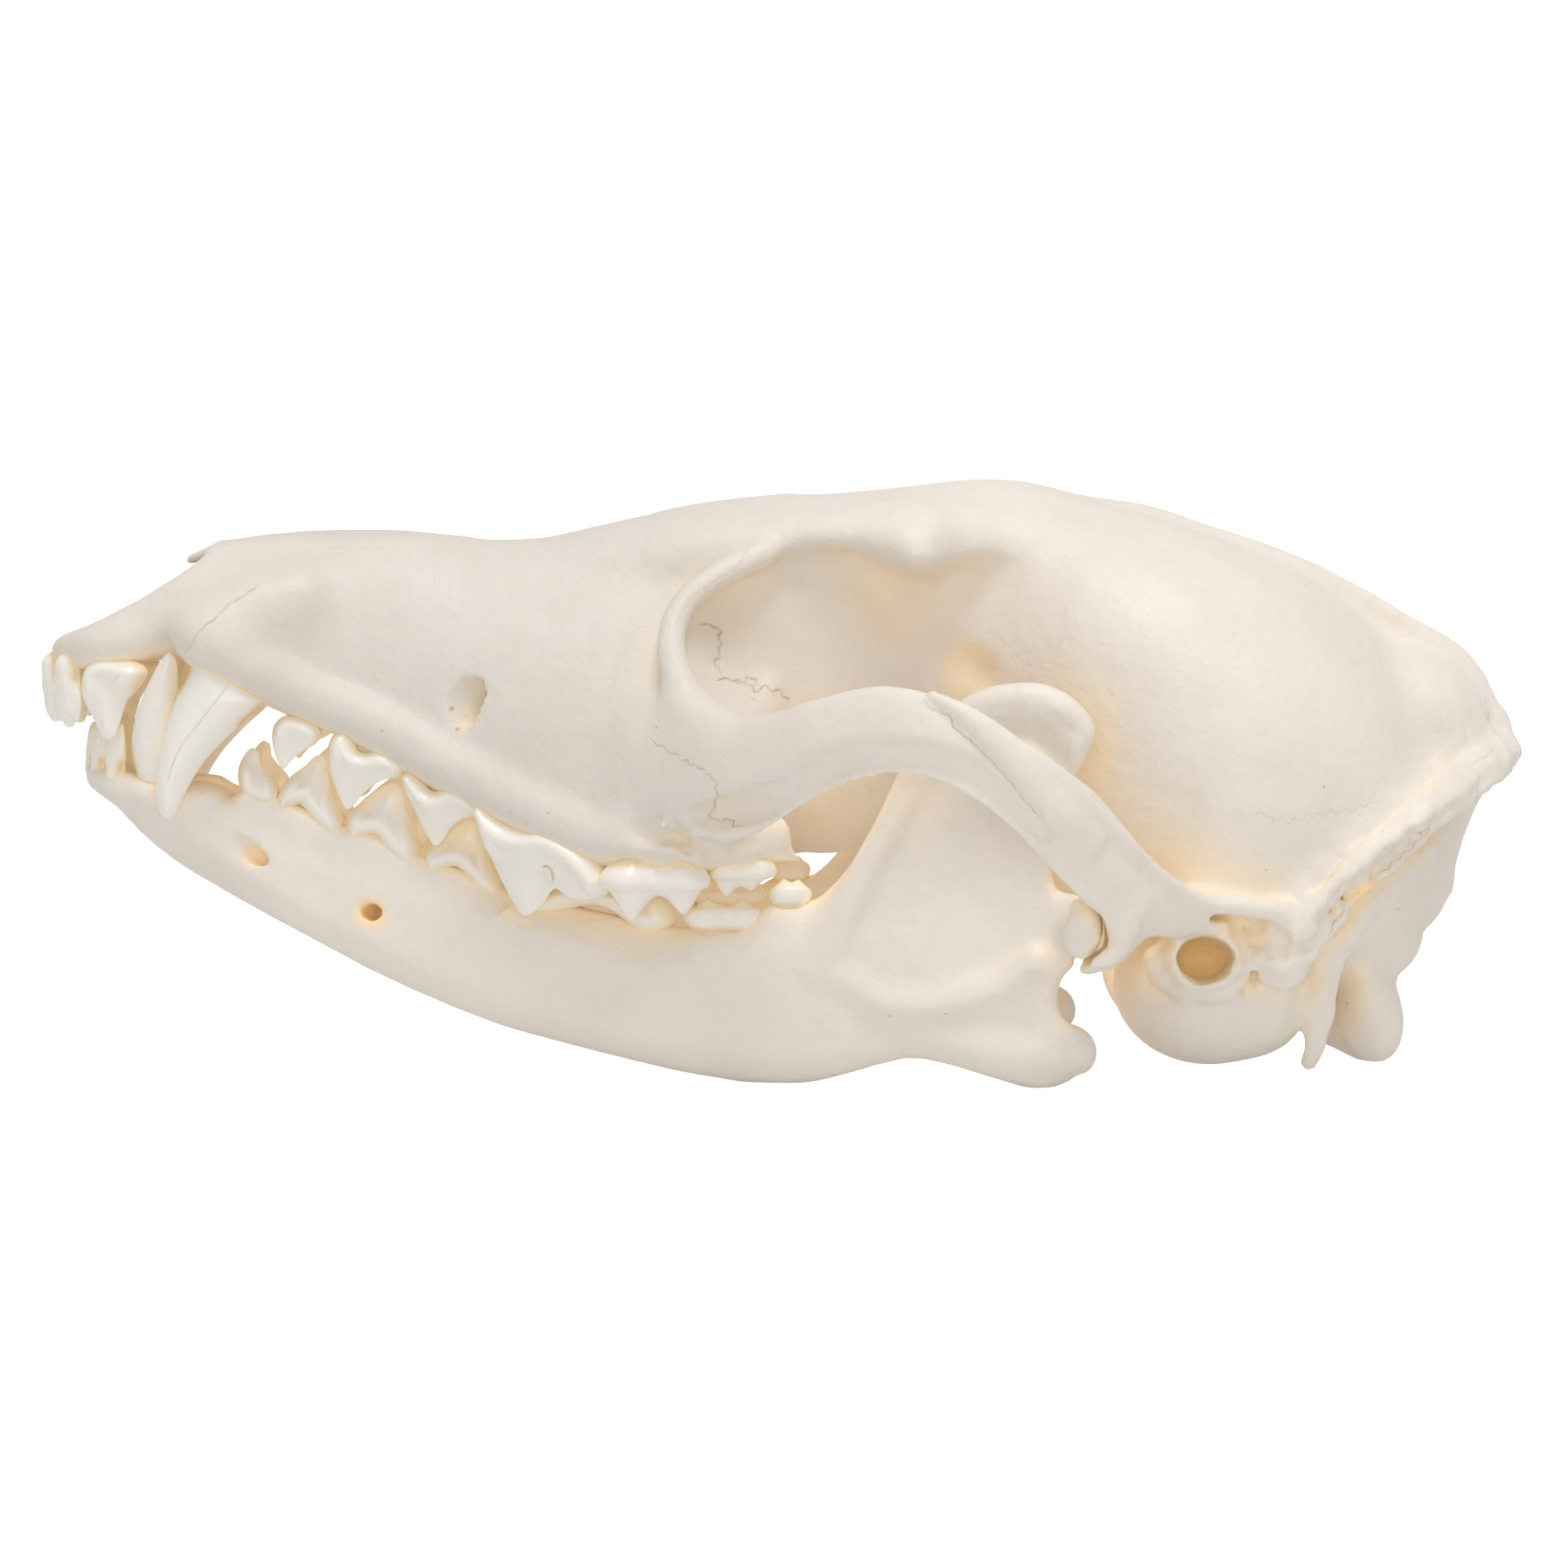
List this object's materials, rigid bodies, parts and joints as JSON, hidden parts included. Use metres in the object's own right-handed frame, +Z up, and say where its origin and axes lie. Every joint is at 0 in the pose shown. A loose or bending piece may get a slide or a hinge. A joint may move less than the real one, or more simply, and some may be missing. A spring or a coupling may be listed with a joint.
{
  "type": "jackal skull",
  "caption": "Clean jackal skull with the lower jaw closed: long tapering snout, full set of teeth, wide cheek arches, round braincase with a low crest, lying on its jaw.",
  "frame": {"origin": "on the floor the skull rests on, below the middle of its bounding box", "axes": "+Z up; the nose points to -X and the back of the head to +X; the animal's right side is towards +Y and its left side, the one in the picture, towards -Y"},
  "size_m": [0.1601, 0.0904, 0.0636],
  "materials": {
    "cranium_bone": "dry cream-white bone, smooth with a faint sheen",
    "jaw_bone": "dry cream-white bone, smooth with a faint sheen",
    "enamel": "glossy white tooth enamel"
  },
  "bodies": {
    "root": {"cranium": "cranium_bone", "mandible_left": "jaw_bone", "mandible_right": "jaw_bone"}
  },
  "joints": []
}
